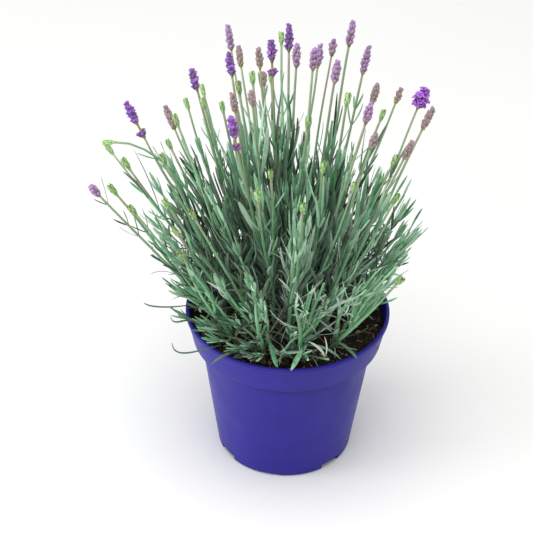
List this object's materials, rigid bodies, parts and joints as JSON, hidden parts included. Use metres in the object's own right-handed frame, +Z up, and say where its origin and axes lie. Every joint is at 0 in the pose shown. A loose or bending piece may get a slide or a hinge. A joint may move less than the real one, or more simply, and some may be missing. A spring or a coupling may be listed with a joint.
{
  "type": "potted lavender plant",
  "caption": "Bushy young lavender in a round tapered plastic nursery pot: narrow grey-green leaves on upright stems, slim violet, mauve and faded flower spikes and green buds on long stalks.",
  "frame": {"origin": "centre of the pot's flat underside", "axes": "+Z up along the pot's axis; -Y is the side of the plant seen in front; +X is to the right of it"},
  "size_m": [0.2039, 0.2026, 0.2835],
  "materials": {
    "pot_plastic": "satin",
    "potting_soil": "matte",
    "leaves_and_stems": "matte",
    "violet_florets": "matte",
    "mauve_florets": "matte",
    "faded_florets": "matte",
    "open_florets": "matte"
  },
  "bodies": {
    "root": {"pot": "pot_plastic", "soil": "potting_soil", "leafy_clump_01": "leaves_and_stems", "leafy_clump_02": "leaves_and_stems", "leafy_clump_03": "leaves_and_stems", "leafy_clump_04": "leaves_and_stems", "leafy_clump_05": "leaves_and_stems", "leafy_clump_06": "leaves_and_stems", "leafy_clump_07": "leaves_and_stems", "leafy_clump_08": "leaves_and_stems", "leafy_clump_09": "leaves_and_stems", "leafy_clump_10": "leaves_and_stems", "leafy_clump_11": "leaves_and_stems", "leafy_clump_12": "leaves_and_stems", "leafy_clump_13": "leaves_and_stems", "leafy_clump_14": "leaves_and_stems", "leafy_clump_15": "leaves_and_stems", "leafy_clump_16": "leaves_and_stems", "leafy_clump_17": "leaves_and_stems", "leafy_clump_18": "leaves_and_stems", "leafy_clump_19": "leaves_and_stems", "leafy_clump_20": "leaves_and_stems", "leafy_clump_21": "leaves_and_stems", "leafy_clump_22": "leaves_and_stems", "leafy_clump_23": "leaves_and_stems", "leafy_clump_24": "leaves_and_stems", "leafy_clump_25": "leaves_and_stems", "leafy_clump_26": "leaves_and_stems", "flower_spike_01": "mauve_florets", "flower_spike_02": "mauve_florets", "flower_spike_03": "faded_florets", "flower_spike_04": "violet_florets", "flower_spike_05": "mauve_florets", "flower_spike_06": "faded_florets", "flower_spike_07": "faded_florets", "flower_spike_08": "violet_florets", "flower_spike_09": "faded_florets", "flower_spike_10": "mauve_florets", "flower_spike_11": "faded_florets", "flower_spike_12": "open_florets", "flower_spike_13": "faded_florets", "flower_spike_14": "mauve_florets", "flower_spike_15": "mauve_florets", "flower_spike_16": "faded_florets", "flower_spike_17": "violet_florets", "flower_spike_18": "mauve_florets", "flower_spike_19": "mauve_florets", "flower_spike_20": "mauve_florets", "flower_spike_21": "violet_florets", "flower_spike_22": "violet_florets", "flower_spike_23": "faded_florets", "flower_spike_24": "violet_florets", "flower_spike_25": "faded_florets", "flower_spike_26": "faded_florets", "flower_spike_27": "faded_florets", "flower_spike_28": "mauve_florets"}
  },
  "joints": []
}
